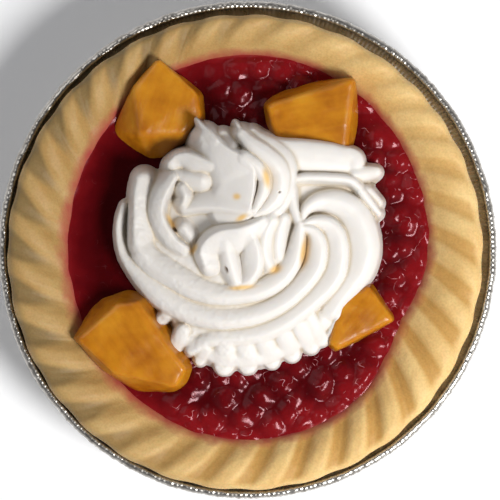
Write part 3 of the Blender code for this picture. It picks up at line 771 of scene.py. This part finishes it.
# Ridges left by the nozzle: x, y, crest height, and width to the left and to the right of the crest
RIDGES = {
    "ring_a": ("ring", [
        (13.1, 6.4, 38.4, 0.7, 0.8), (13.0, 3.3, 38.2, 1.2, 1.8), (12.6, -0.5, 37.9, 1.4, 2.6),
        (11.4, -4.0, 37.6, 1.5, 3.0), (8.6, -7.6, 37.3, 1.6, 3.2), (3.9, -10.4, 37.0, 1.7, 3.0),
        (-2.3, -11.6, 36.6, 1.8, 3.0), (-8.2, -11.6, 36.3, 2.0, 3.2), (-13.6, -9.9, 36.0, 2.4, 3.6),
        (-18.6, -6.9, 35.7, 2.8, 3.8), (-23.2, -4.0, 35.4, 3.0, 3.8), (-26.4, -1.3, 35.3, 2.4, 3.0)]),
    "ring_b": ("ring", [
        (13.5, 5.6, 38.2, 0.6, 0.8), (16.0, 5.1, 38.0, 1.1, 1.6), (17.8, 2.9, 37.6, 1.4, 2.8),
        (18.4, -0.3, 37.3, 1.5, 3.4), (17.8, -4.0, 37.0, 1.5, 3.4), (15.8, -7.3, 36.7, 1.5, 3.4),
        (12.9, -10.5, 36.4, 1.5, 3.2), (9.3, -13.4, 36.0, 1.6, 3.0), (4.3, -15.9, 35.6, 1.8, 2.8),
        (-1.5, -17.4, 35.2, 2.0, 2.8), (-8.2, -17.6, 34.8, 2.2, 3.0), (-14.9, -15.7, 34.4, 2.6, 3.4),
        (-20.3, -12.6, 34.2, 3.0, 3.6), (-24.5, -9.0, 33.8, 2.6, 3.2), (-28.1, -5.5, 33.2, 1.8, 2.4),
        (-30.7, -2.6, 32.6, 1.0, 1.4), (-32.2, 0.8, 32.2, 0.7, 1.1), (-32.7, 4.6, 31.9, 0.6, 1.0),
        (-32.3, 8.3, 31.6, 0.6, 1.0), (-31.3, 11.3, 31.2, 0.6, 0.8)]),
    "ring_c": ("ring", [
        (13.7, 6.4, 37.8, 0.6, 0.7), (16.9, 7.4, 37.5, 1.0, 1.6), (20.4, 6.8, 37.1, 1.4, 2.8),
        (22.5, 4.5, 36.7, 1.6, 3.6), (23.4, 1.2, 36.4, 1.7, 3.8), (23.5, -2.1, 36.1, 1.7, 4.0),
        (22.8, -5.9, 35.8, 1.7, 4.0), (20.6, -9.4, 35.4, 1.7, 3.8), (17.3, -12.6, 35.0, 1.7, 3.6),
        (13.3, -15.9, 34.6, 1.8, 3.2), (8.5, -19.1, 34.2, 2.0, 3.0), (3.1, -21.3, 33.8, 2.0, 2.8),
        (-2.4, -22.2, 33.4, 1.9, 2.8), (-7.0, -22.5, 33.0, 1.7, 2.8), (-10.7, -23.5, 32.4, 1.3, 2.4),
        (-13.9, -25.7, 31.4, 0.8, 1.8)]),
    "wing": ("broad", [
        (13.5, 7.4, 37.2, 0.6, 0.7), (14.5, 10.4, 37.0, 1.0, 1.6), (17.7, 12.5, 36.6, 1.6, 2.6),
        (21.8, 12.5, 36.2, 2.4, 3.4), (25.6, 10.8, 35.8, 3.0, 4.0), (28.1, 7.5, 35.3, 3.4, 4.6),
        (29.4, 3.7, 34.9, 3.5, 5.0), (29.8, -0.5, 34.5, 3.4, 5.4), (28.6, -5.1, 34.0, 3.2, 5.2),
        (26.1, -8.8, 33.6, 2.6, 4.6), (23.6, -12.2, 33.1, 2.0, 4.0), (21.5, -15.6, 32.3, 1.4, 3.0)]),
    "lip": ("ring", [
        (11.2, 17.6, 37.8, 0.8, 0.8), (14.3, 18.0, 37.7, 1.0, 0.9), (19.5, 18.0, 37.2, 1.0, 0.9),
        (24.8, 17.5, 36.4, 1.1, 0.9), (27.3, 16.0, 35.6, 1.1, 0.9), (29.2, 13.5, 34.8, 1.1, 0.9),
        (31.1, 11.2, 33.8, 1.0, 0.8), (32.9, 9.2, 32.6, 0.7, 0.7)]),
    "sheet": ("band", [
        (4.3, 25.3, 36.4, 3.2, 3.0), (8.5, 24.1, 36.8, 3.8, 3.8), (14.3, 23.2, 36.4, 4.4, 3.8),
        (19.8, 22.7, 35.6, 4.3, 3.8), (24.0, 22.1, 34.7, 4.0, 3.6), (25.9, 21.8, 33.8, 3.6, 3.0)]),
    "spoke": ("ring", [
        (10.5, 18.6, 38.8, 0.9, 1.4), (11.0, 15.3, 38.8, 0.9, 1.4), (11.4, 11.6, 38.6, 0.9, 1.4),
        (12.2, 8.7, 38.4, 0.7, 1.1), (13.1, 6.4, 38.2, 0.6, 0.8)]),
    "fin_top": ("fin", [
        (-3.2, 32.1, 38.2, 0.2, 0.2), (-2.5, 30.7, 39.6, 0.6, 0.5), (-1.5, 28.6, 41.0, 1.0, 0.9)]),
    "strip_1": ("ring", [
        (-0.7, 22.8, 44.8, 1.4, 1.8), (1.6, 21.2, 44.7, 1.4, 1.7), (3.2, 19.3, 44.2, 1.5, 1.5),
        (4.1, 17.3, 43.6, 1.4, 1.3), (3.9, 14.8, 43.0, 1.3, 1.2), (2.8, 12.1, 42.0, 1.0, 1.0),
        (1.6, 9.7, 40.8, 0.6, 0.6)]),
    "strip_2": ("ring", [
        (-1.7, 28.7, 41.0, 1.3, 1.0), (0.6, 26.2, 42.2, 1.9, 1.4), (3.7, 23.9, 42.6, 2.3, 1.8),
        (6.6, 21.4, 42.4, 2.4, 2.2), (8.0, 19.0, 41.8, 2.2, 2.6), (8.2, 16.1, 41.4, 2.0, 2.8),
        (7.2, 13.0, 41.0, 1.9, 2.6), (4.7, 10.3, 40.6, 1.4, 1.6), (2.0, 8.7, 40.2, 0.8, 0.8)]),
    "strip_3": ("ring", [
        (1.2, 29.4, 36.0, 1.0, 1.2), (2.9, 27.6, 37.6, 1.8, 1.8), (5.4, 25.7, 38.6, 2.4, 2.0),
        (8.3, 23.2, 39.2, 2.6, 2.0), (10.1, 20.3, 39.4, 2.0, 1.8), (10.5, 17.2, 39.2, 1.4, 1.6),
        (9.9, 13.6, 39.4, 1.2, 1.6), (8.0, 10.3, 39.6, 1.2, 1.6), (4.3, 7.8, 40.0, 1.0, 1.2)]),
    "back_lobe": ("ring", [
        (-6.3, 28.5, 36.0, 1.4, 1.4), (-5.7, 26.7, 39.0, 2.0, 2.0), (-4.6, 25.0, 42.0, 2.0, 2.0)]),
    "fin": ("fin", [
        (-12.8, 32.7, 38.6, 0.2, 0.3), (-11.4, 31.0, 40.2, 0.5, 1.0), (-9.6, 29.2, 41.6, 0.8, 2.0),
        (-7.6, 27.2, 42.7, 0.9, 2.6)]),
    "mound": ("slope", [
        (-9.2, 28.8, 41.4, 0.8, 2.6), (-8.0, 27.6, 42.4, 0.9, 5.0), (-5.2, 25.3, 43.6, 1.0, 9.0),
        (-1.5, 22.9, 44.5, 1.4, 11.0), (1.3, 19.9, 44.4, 1.2, 12.5), (1.6, 16.4, 43.7, 1.0, 12.5),
        (1.1, 12.8, 42.6, 0.8, 11.5), (0.5, 9.7, 41.2, 0.6, 9.0)]),
    "leaf": ("ribbon", [
        (-19.2, 22.0, 37.6, 0.7, 1.8), (-17.5, 23.5, 38.6, 0.8, 3.0), (-14.8, 23.8, 39.6, 0.9, 3.6),
        (-11.6, 22.6, 40.5, 0.9, 3.0), (-9.0, 21.2, 41.0, 0.8, 1.4)]),
    "leaf_low": ("soft", [
        (-17.6, 18.9, 37.0, 1.2, 1.6), (-15.0, 18.3, 38.2, 1.8, 2.2), (-11.5, 17.6, 39.4, 2.0, 2.6)]),
    "shelf": ("ribbon", [
        (-15.5, 10.0, 37.2, 2.0, 1.0), (-11.5, 10.6, 38.6, 4.0, 1.2), (-7.0, 10.4, 39.9, 5.0, 1.2),
        (-3.0, 9.8, 40.8, 5.0, 1.2), (-0.2, 9.3, 41.2, 3.5, 1.0)]),
    "bump": ("soft", [(-15.9, 5.6, 37.4, 1.4, 1.4), (-14.3, 3.5, 36.8, 1.2, 1.2)]),
    "left_band": ("ribbon", [
        (-27.3, 17.6, 35.6, 2.6, 1.2), (-27.9, 14.6, 36.1, 4.2, 1.4), (-28.2, 9.5, 36.1, 5.0, 1.4),
        (-28.2, 4.5, 36.0, 4.8, 1.5), (-27.7, 1.0, 35.8, 4.0, 1.8), (-25.7, -1.5, 35.5, 2.8, 2.2)]),
    "curl": ("ribbon", [
        (-18.3, 17.8, 38.4, 0.7, 1.4), (-19.6, 15.3, 39.0, 0.8, 2.4), (-20.9, 12.4, 39.0, 0.8, 2.8),
        (-21.4, 9.5, 38.7, 0.8, 2.8), (-20.8, 7.0, 38.2, 0.7, 2.6), (-19.3, 4.3, 37.6, 0.7, 2.4),
        (-17.8, 2.4, 37.0, 0.7, 2.2), (-15.7, 0.8, 36.5, 0.8, 2.0)]),
    "curl_fold": ("soft", [
        (-16.4, 15.5, 39.2, 0.6, 0.6), (-15.5, 13.4, 39.4, 0.7, 0.7), (-16.1, 11.5, 38.6, 0.6, 0.6)]),
    "blob": ("ribbon", [
        (-10.6, -3.8, 39.0, 1.2, 3.4), (-11.6, -0.6, 39.9, 1.4, 5.2), (-10.2, 2.3, 40.8, 1.5, 6.2),
        (-6.8, 4.4, 41.5, 1.5, 6.0), (-1.9, 5.2, 42.0, 1.4, 5.0), (1.5, 6.4, 41.7, 1.2, 3.5),
        (3.6, 7.4, 41.0, 0.9, 1.5)]),
    "tail_middle": ("soft", [
        (-5.4, 1.5, 40.4, 1.7, 1.6), (-4.8, -1.8, 39.9, 1.8, 1.8), (-3.8, -5.0, 39.1, 1.6, 1.8),
        (-3.0, -7.6, 38.0, 1.2, 1.2)]),
    "tail_left": ("ribbon", [
        (1.2, 3.6, 41.2, 0.9, 2.2), (2.6, -0.4, 40.6, 1.0, 3.6), (2.6, -4.2, 39.6, 1.1, 3.8),
        (0.6, -7.4, 38.2, 1.2, 3.0), (-1.6, -8.6, 37.2, 1.2, 1.6)]),
    "tail_right": ("soft", [
        (6.0, 7.4, 40.8, 1.1, 1.2), (4.6, 4.5, 40.2, 1.4, 1.9), (4.1, 1.2, 39.4, 1.5, 2.0),
        (4.4, -1.7, 38.6, 1.4, 1.8), (5.4, -4.0, 37.6, 1.0, 1.0)]),
    "gore": ("soft", [
        (8.9, 7.8, 39.4, 1.0, 1.2), (7.8, 4.5, 38.4, 1.6, 1.6), (7.4, 1.2, 37.4, 1.8, 1.8),
        (7.7, -1.7, 36.6, 1.6, 1.6)]),
    "skirt": ("skirt", [
        (-15.4, -22.2, 30.8, 2.4, 2.4), (-8.8, -25.2, 30.7, 2.8, 2.8), (-3.2, -26.4, 30.6, 3.0, 3.0),
        (3.4, -25.8, 30.5, 3.0, 3.0), (9.4, -23.4, 30.5, 3.0, 3.0), (14.4, -20.4, 30.8, 3.0, 3.0),
        (18.8, -17.2, 31.4, 2.6, 2.6)]),
    "tooth_nub": ("tooth", [
        (-19.3, -15.1, 32.4, 1.3, 1.3), (-21.1, -16.8, 31.2, 1.5, 1.5), (-21.8, -17.5, 30.4, 1.4, 1.4)]),
    "tooth_block": ("tooth", [
        (-16.2, -20.2, 32.2, 1.6, 1.6), (-17.5, -22.7, 31.0, 1.9, 1.9), (-18.7, -25.1, 29.4, 1.8, 1.8)]),
    "tooth_small": ("tooth", [
        (-10.8, -24.8, 31.8, 1.6, 1.6), (-12.1, -27.8, 29.4, 1.5, 1.5)]),
    "tooth_wide_left": ("tooth", [
        (-5.5, -23.5, 32.6, 3.0, 2.6), (-5.9, -26.9, 31.2, 3.0, 2.6), (-6.1, -29.3, 29.4, 2.7, 2.3)]),
    "tooth_wide_right": ("tooth", [
        (-0.5, -23.3, 32.6, 2.8, 3.0), (0.1, -26.9, 31.0, 2.6, 3.0), (0.2, -29.1, 29.4, 2.2, 2.6)]),
    "tooth_3": ("tooth", [
        (4.1, -22.7, 32.8, 2.6, 2.6), (5.4, -25.9, 30.9, 2.4, 2.4), (6.1, -28.1, 28.9, 2.1, 2.1)]),
    "tooth_4": ("tooth", [
        (9.0, -21.0, 33.0, 2.6, 2.6), (10.4, -24.2, 31.0, 2.4, 2.4), (11.2, -26.4, 29.0, 2.1, 2.1)]),
    "tooth_5": ("tooth", [
        (13.1, -18.9, 33.2, 2.4, 2.4), (14.9, -22.1, 31.2, 2.3, 2.3), (16.0, -24.3, 29.2, 2.1, 2.1)]),
    "tooth_6": ("tooth", [
        (15.4, -16.6, 33.2, 1.6, 1.6), (17.3, -20.0, 31.5, 1.7, 1.9), (18.7, -22.6, 29.4, 1.8, 1.9)]),
    "tooth_rim": ("ring", [
        (23.2, -14.5, 31.8, 0.7, 0.8), (22.5, -17.7, 31.0, 1.0, 1.0), (21.3, -20.2, 30.2, 0.9, 0.9),
        (20.0, -22.4, 29.2, 1.0, 1.0)]),
    "tooth_7": ("ring", [
        (26.9, 18.8, 34.4, 1.8, 1.8), (29.9, 19.3, 32.8, 1.8, 1.8), (32.3, 19.7, 31.0, 1.3, 1.4)]),
    "tooth_8": ("ring", [(29.9, 14.6, 33.4, 1.5, 1.5), (32.9, 11.9, 31.2, 1.1, 1.1)]),
}

# Spots on the cream, soaked with syrup or pierced: x, y, half length, half width, turn in degrees
STAINS = [
    (13.9, -0.5, 3.6, 0.8, 82), (7.0, -4.9, 1.7, 1.0, 25), (-2.7, 13.2, 1.0, 0.8, 0),
    (4.7, 17.8, 2.6, 1.0, 100), (-13.4, 0.2, 1.6, 0.7, 60), (-1.5, -9.4, 3.4, 0.6, 5),
    (-1.5, 8.0, 1.6, 0.7, 30), (-19.2, 6.8, 2.4, 0.6, -60),
]
# The pits are dented and painted dark as shade inside them
PITS = [(-5.5, -4.9, 0.8, 0.4, -60), (-18.3, 5.2, 0.8, 0.25, -55), (7.9, 14.3, 0.3, 0.25, 0)]


def piece_height(x, y, start, end, power, share, bank):
    """Distance of places in the plane from one straight piece of a ridge, and their height by it."""
    run = end[:2] - start[:2]
    length = max(math.hypot(run[0], run[1]), 1e-6)
    t = np.clip(((x - start[0]) * run[0] + (y - start[1]) * run[1]) / length ** 2, 0.0, 1.0)
    off_x = x - start[0] - run[0] * t
    off_y = y - start[1] - run[1] * t
    away = np.hypot(off_x, off_y) + 1e-9
    leftness = (run[0] * off_y - run[1] * off_x) / (length * away)
    crest, left, right = (start[i] + (end[i] - start[i]) * t for i in (2, 3, 4))
    middling = (left + right) / 2
    width = middling + (left - right) / 2 * leftness
    fall = 2 * share * middling * np.minimum(away / width, 1.0) ** power
    past = np.maximum(away - width, 0.0)
    return away, crest - fall - bank * middling / width * past - BANK_STEEPENING * past * past


def ridge_height(x, y, path, section):
    """The height by a whole ridge: each place takes it from the pieces nearest to it."""
    pieces = [piece_height(x, y, start, end, *section) for start, end in zip(path, path[1:])]
    away, height = np.array(pieces).swapaxes(0, 1)
    nearest = away.min(axis=0)
    weight = np.exp((nearest - away) / (PIECE_BLEND * nearest + 1e-3))
    return (weight * height).sum(axis=0) / weight.sum(axis=0)


def joined(a, b, fillet):
    """The greater of two heights, with a fillet where they are nearly equal."""
    return np.maximum(a, b) + 0.25 * fillet * np.clip(1 - np.abs(a - b) / fillet, 0.0, 1.0) ** 2


def cream_height(x, y):
    """Height of the cream's surface over places in the plane."""
    turn = np.arctan2(y - SWIRL_CENTRE[1], x - SWIRL_CENTRE[0]) % TAU
    around = np.arange(len(FOOT_REACH) + 1) / len(FOOT_REACH) * TAU
    reach = np.interp(turn, around, FOOT_REACH + FOOT_REACH[:1])
    share, heap = np.array(HEAP).T
    height = np.interp(np.hypot(x - SWIRL_CENTRE[0], y - SWIRL_CENTRE[1]) / reach, share, heap)
    for section, points in RIDGES.values():
        *section, fillet = SECTIONS[section]
        path = spline(points, RIDGE_STEPS)
        margin = path[:, 3:].max() + BANK_REACH
        low = path[:, :2].min(axis=0) - margin
        high = path[:, :2].max(axis=0) + margin
        near = np.nonzero((x > low[0]) & (x < high[0]) & (y > low[1]) & (y < high[1]))
        height[near] = joined(height[near], ridge_height(x[near], y[near], path, section), fillet)
    return height


def spots(places, rows):
    """How strongly each place lies in one of some oval spots, from 0 to 1."""
    strength = np.zeros(len(places))
    for x, y, half_length, half_width, degrees in rows:
        a = math.radians(degrees)
        off_x, off_y = places[:, 0] - x, places[:, 1] - y
        along = (off_x * math.cos(a) + off_y * math.sin(a)) / half_length
        across = (off_y * math.cos(a) - off_x * math.sin(a)) / half_width
        strength = np.maximum(strength, np.exp(-(along ** 2 + across ** 2) ** 1.5))
    return strength


def cream_reach(turn):
    """How far the cream spreads from the swirl's centre in each direction, teeth and all."""
    radius = np.arange(CREAM_NEAREST, CREAM_FURTHEST, REACH_STEP)
    x = SWIRL_CENTRE[0] + radius[:, None] * np.cos(turn)
    y = SWIRL_CENTRE[1] + radius[:, None] * np.sin(turn)
    over = cream_height(x, y) - CREAM_FLOOR
    last = len(radius) - 1 - np.argmax(over[::-1] > 0, axis=0)
    here = over[last, np.arange(len(turn))]
    after = over[np.minimum(last + 1, len(radius) - 1), np.arange(len(turn))]
    reach = radius[last] + REACH_STEP * np.clip(here / np.maximum(here - after, 1e-6), 0.0, 1.0)
    return averaged_round(reach, 1)


def averaged_round(values, rounds):
    """Values in a ring, each averaged with its two neighbours in every round."""
    for _ in range(rounds):
        values = (values + np.roll(values, 1) + np.roll(values, -1)) / 3
    return values


def hollowness(obj, places, normals):
    """How far each place lies below the mean of what is round it, in millimetres."""
    wide = places.copy()
    for _ in range(HOLLOW_ROUNDS):
        wide += (neighbour_mean(obj, wide) - wide) * HOLLOW_SHARE
    return np.einsum("ij,ij->i", wide - places, normals)


def make_cream():
    turn = np.arange(CREAM_ROUND_STEPS) / CREAM_ROUND_STEPS * TAU
    reach = cream_reach(turn)
    even_reach = averaged_round(reach, REACH_EVENING)
    # The rings as shares of the reach, closer together down the steep edge
    edge_shares = np.linspace(1.0, 0.937, CREAM_EDGE_RINGS)
    shares = np.concatenate([edge_shares, np.linspace(0.93, 0.004, CREAM_RINGS)])[:, None]
    away = shares * (even_reach + (reach - even_reach) * smoothstep(RAGGED_SHARE, 1.0, shares))
    x = SWIRL_CENTRE[0] + away * np.cos(turn)
    y = SWIRL_CENTRE[1] + away * np.sin(turn)
    rings = np.stack([x, y, np.maximum(cream_height(x, y), CREAM_FLOOR)], -1)
    foot = rings[:1].copy()
    foot[..., 2] = CREAM_FLOOR - CREAM_FOOT
    cream = ringed_object("cream", np.concatenate([foot, rings]))
    soften(cream, 1)
    places = vertex_places(cream)
    normals = vertex_normals(cream)
    hollow_shade = hollowness(cream, places, normals)
    # The cream is frothier towards the lower left, and painted greyer towards the left as shade on the
    # side away from the key light
    frothy = smoothstep(0.0, -20.0, places[:, 0] + 0.6 * places[:, 1])
    left_shade = smoothstep(10.0, -28.0, places[:, 0] - 0.3 * places[:, 1])
    froth = CREAM_FROTH * rough_noise(places, 2.4, seed=61, layers=2)
    froth += CREAM_UNEVENNESS * soft_noise(places, 7.0, seed=64)
    froth += FINE_FROTH * frothy * rough_noise(places, 0.9, seed=66, layers=2)
    froth -= PIT_DEPTH * spots(places, PITS)
    put_vertices(cream, places + normals * froth[:, None])
    set_value(cream, "hollow_shade", np.clip(hollow_shade / HOLLOW_DEPTH, 0.0, 1.0))
    set_value(cream, "stain", spots(places, STAINS))
    set_value(cream, "pit_shade", spots(places, PITS))
    set_value(cream, "left_shade", left_shade)
    return cream


def cream_surface():
    surface = Surface("cream", 0.5, subsurface_weight=0.2, subsurface_scale=0.0008)
    surface.shader.inputs["Subsurface Radius"].default_value = (1.0, 0.8, 0.55)
    # Painted shade greys the cream towards the left, away from the key light; the bubbles' bump follows
    # the same mask
    left_shade = surface.value("left_shade")
    tone = surface.mix(left_shade, CREAM_WHITE, CREAM_SHADED)
    # Painted shade, warm-tinted, darkens the hollows
    tone = surface.mix(surface.maths("MULTIPLY", surface.value("hollow_shade"), 0.75), tone, CREAM_HOLLOW_SHADE)
    tone = surface.mix(surface.value("stain"), tone, SYRUP)
    # The pits are painted dark as shade inside them
    surface.colour(surface.mix(surface.value("pit_shade"), tone, PIT_SHADE))
    bubbles = surface.maths("ADD", surface.maths("MULTIPLY", left_shade, 0.65), 0.35)
    surface.bump(surface.maths("MULTIPLY", surface.noise(0.7, 3.0), bubbles), 0.14, 0.5)
    return surface


# Floor, light and camera

def make_floor():
    """A plain white floor just under the tin."""
    half, level = FLOOR_WIDTH / 2, -FLOOR_GAP
    corners = [(-half, -half, level), (half, -half, level), (half, half, level), (-half, half, level)]
    floor = mesh_object("floor", corners, [(0, 1, 2, 3)])
    surface = Surface("floor", 0.8, base_color=(1.0, 1.0, 1.0, 1.0))
    floor.data.materials.append(surface.material)


def make_light(name, azimuth, elevation, distance, size, power):
    """A round soft light that points at the pie, in degrees, metres and watts. The azimuth runs
    counter-clockwise from +X."""
    a, e = math.radians(azimuth), math.radians(elevation)
    towards = Vector((math.cos(a) * math.cos(e), math.sin(a) * math.cos(e), math.sin(e)))
    data = bpy.data.lights.new(name, "AREA")
    data.shape = "DISK"
    data.size = size
    data.energy = power
    light = bpy.data.objects.new(name, data)
    light.location = towards * distance
    light.rotation_mode = "QUATERNION"
    light.rotation_quaternion = towards.to_track_quat("Z", "Y")
    bpy.context.scene.collection.objects.link(light)


def make_world():
    """A pale studio that is bright towards the horizon and darker overhead."""
    world = bpy.data.worlds.new("studio")
    bpy.context.scene.world = world
    world.use_nodes = True
    tree = world.node_tree
    direction = tree.nodes.new("ShaderNodeTexCoord").outputs["Generated"]
    split = tree.nodes.new("ShaderNodeSeparateXYZ")
    tree.links.new(direction, split.inputs[0])
    ramp = tree.nodes.new("ShaderNodeValToRGB")
    tree.links.new(split.outputs["Z"], ramp.inputs["Fac"])
    horizon, overhead = ramp.color_ramp.elements
    horizon.position = 0.0
    horizon.color = HORIZON_TONE
    overhead.position = OVERHEAD_START
    overhead.color = OVERHEAD_TONE
    tree.links.new(ramp.outputs["Color"], tree.nodes["Background"].inputs["Color"])
    tree.nodes["Background"].inputs["Strength"].default_value = SKY_STRENGTH


def make_camera():
    data = bpy.data.cameras.new("camera")
    data.sensor_width = SENSOR_WIDTH
    data.lens = SENSOR_WIDTH * CAMERA_DISTANCE / VIEW_WIDTH
    data.clip_start = 0.01
    camera = bpy.data.objects.new("camera", data)
    height = RIM_HEIGHT + CAMERA_DISTANCE
    camera.location = Vector((*VIEW_CENTRE, height)) * MM
    bpy.context.scene.collection.objects.link(camera)
    bpy.context.scene.camera = camera


def main():
    make_camera()
    make_world()
    make_light("key", azimuth=-40, elevation=55, distance=0.60, size=0.18, power=3.4)
    make_light("fill", azimuth=140, elevation=55, distance=0.9, size=0.6, power=1.2)
    make_floor()
    bpy.context.scene.view_settings.view_transform = "Standard"
    dress(make_tin(), foil_surface(), "foil", "foil_tin")
    dress(make_crust(), crust_surface(), "pastry", "pie_crust")
    dress(make_filling(), jam_surface(), "cherry_jam", "cherry_filling")
    peach = peach_surface()
    for node, (grain_angle, seed) in CHUNKS.items():
        dress(make_chunk(node, grain_angle, seed), peach, "peach", node)
    dress(make_cream(), cream_surface(), "whipped_cream", "whipped_cream")


main()
